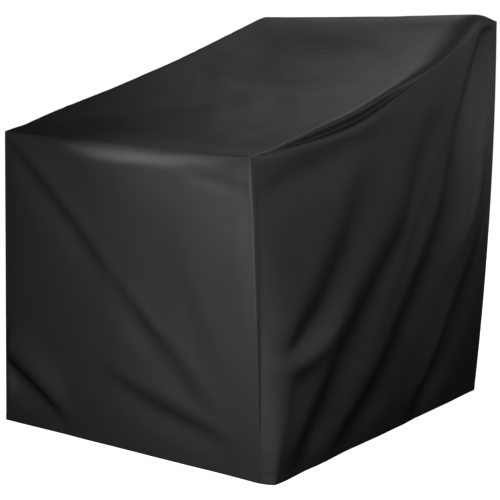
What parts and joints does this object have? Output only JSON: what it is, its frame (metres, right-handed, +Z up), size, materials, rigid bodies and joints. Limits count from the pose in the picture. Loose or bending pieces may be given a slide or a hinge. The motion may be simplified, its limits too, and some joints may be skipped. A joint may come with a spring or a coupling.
{
  "type": "fitted cover for a stack of patio chairs",
  "caption": "Fitted cloth cover for stacked patio chairs: low straight front, top rising in a shallow hollow to a high back, hollow and open at the floor.",
  "frame": {"origin": "on the floor, under the middle of the cover's box", "axes": "+Z up, -Y towards the low front, +X towards the cover's right side seen from the front"},
  "size_m": [0.7814, 0.9038, 0.8837],
  "materials": {
    "coated_cloth": "black woven polyester with a smooth coated face, soft satin sheen"
  },
  "bodies": {
    "root": {"top_panel": "coated_cloth", "front_panel": "coated_cloth", "right_side_panel": "coated_cloth", "left_side_panel": "coated_cloth", "back_panel": "coated_cloth"}
  },
  "joints": []
}
